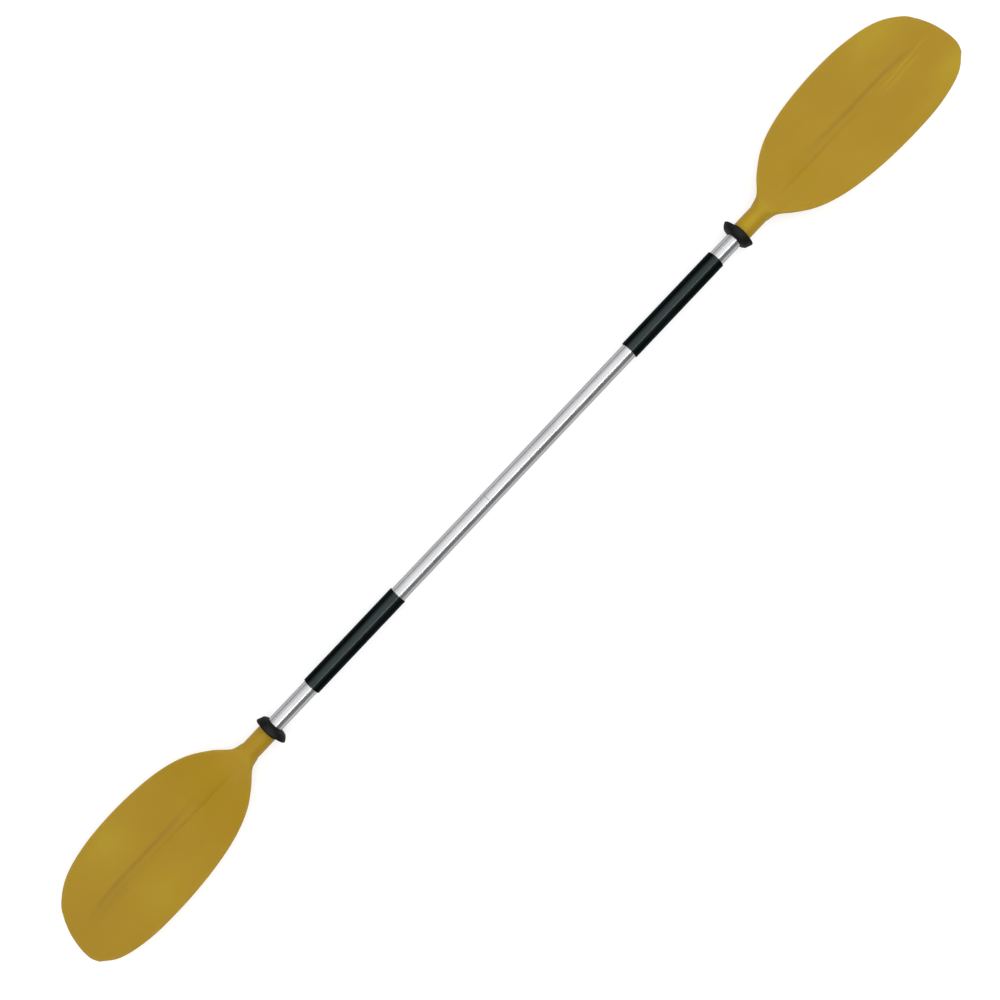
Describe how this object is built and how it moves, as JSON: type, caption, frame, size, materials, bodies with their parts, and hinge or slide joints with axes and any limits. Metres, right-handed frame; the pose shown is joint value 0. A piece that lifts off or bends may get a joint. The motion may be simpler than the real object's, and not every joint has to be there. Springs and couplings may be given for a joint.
{
  "type": "kayak paddle",
  "caption": "Double-bladed kayak paddle with spooned asymmetric plastic blades in line on a take-apart aluminium shaft, with grip sleeves and rubber drip rings.",
  "frame": {"origin": "on the shaft's axis, halfway between the blade tips, which is the centre of the bounding box", "axes": "+X along the shaft to the right blade, +Z out of the blades' front faces, +Y across to the shorter edge of the blades"},
  "size_m": [2.2, 0.204, 0.063],
  "materials": {
    "blade_plastic": "mustard yellow moulded nylon, satin, fine moulded grain",
    "shaft_aluminium": "drawn and clear anodised tube, satin",
    "grip_rubber": "shrunk-on black sleeve with a soft sheen",
    "drip_ring_rubber": "matt black moulded rubber",
    "ferrule_aluminium": "plain machined tube",
    "seal_rubber": "black O-ring",
    "button_steel": "polished stainless steel",
    "spring_steel": "rolled stainless strip",
    "rivet_aluminium": "plain aluminium",
    "mandrel_steel": "plated steel, snapped end",
    "bung_foam": "closed-cell foam"
  },
  "bodies": {
    "left_half": {"left_shaft": "shaft_aluminium", "left_blade": "blade_plastic", "left_grip": "grip_rubber", "ferrule": "ferrule_aluminium", "button_spring": "spring_steel", "left_bung": "bung_foam", "left_blade_rivet": "rivet_aluminium", "left_blade_rivet_mandrel": "mandrel_steel", "ferrule_rivet": "rivet_aluminium", "ferrule_rivet_mandrel": "mandrel_steel"},
    "joint_seal": {"seal_ring": "seal_rubber"},
    "right_half": {"right_shaft": "shaft_aluminium", "right_blade": "blade_plastic", "right_grip": "grip_rubber", "right_bung": "bung_foam", "right_blade_rivet": "rivet_aluminium", "right_blade_rivet_mandrel": "mandrel_steel"},
    "lock_button": {"snap_button": "button_steel"},
    "left_ring": {"left_drip_ring": "drip_ring_rubber"},
    "right_ring": {"right_drip_ring": "drip_ring_rubber"}
  },
  "joints": [
    {"name": "feather", "type": "hinge", "parent": "left_half", "child": "joint_seal", "pos_m": [-0.034, 0, 0], "axis": [1, 0, 0], "range_deg": [-60, 60], "deforming": ["snap_button", "button_spring"]},
    {"name": "pull_apart", "type": "slide", "parent": "joint_seal", "child": "right_half", "axis": [1, 0, 0], "range_m": [0, 0.12], "deforming": ["snap_button", "button_spring"]},
    {"name": "button_press", "type": "slide", "parent": "left_half", "child": "lock_button", "axis": [0, 0, 1], "range_m": [0, 0.004], "stiffness_N_per_m": 1200, "springref_m": -0.003, "deforming": ["button_spring"]},
    {"name": "left_ring_slide", "type": "slide", "parent": "left_half", "child": "left_ring", "axis": [1, 0, 0], "range_m": [0, 0.091]},
    {"name": "right_ring_slide", "type": "slide", "parent": "right_half", "child": "right_ring", "axis": [-1, 0, 0], "range_m": [0, 0.044]}
  ]
}
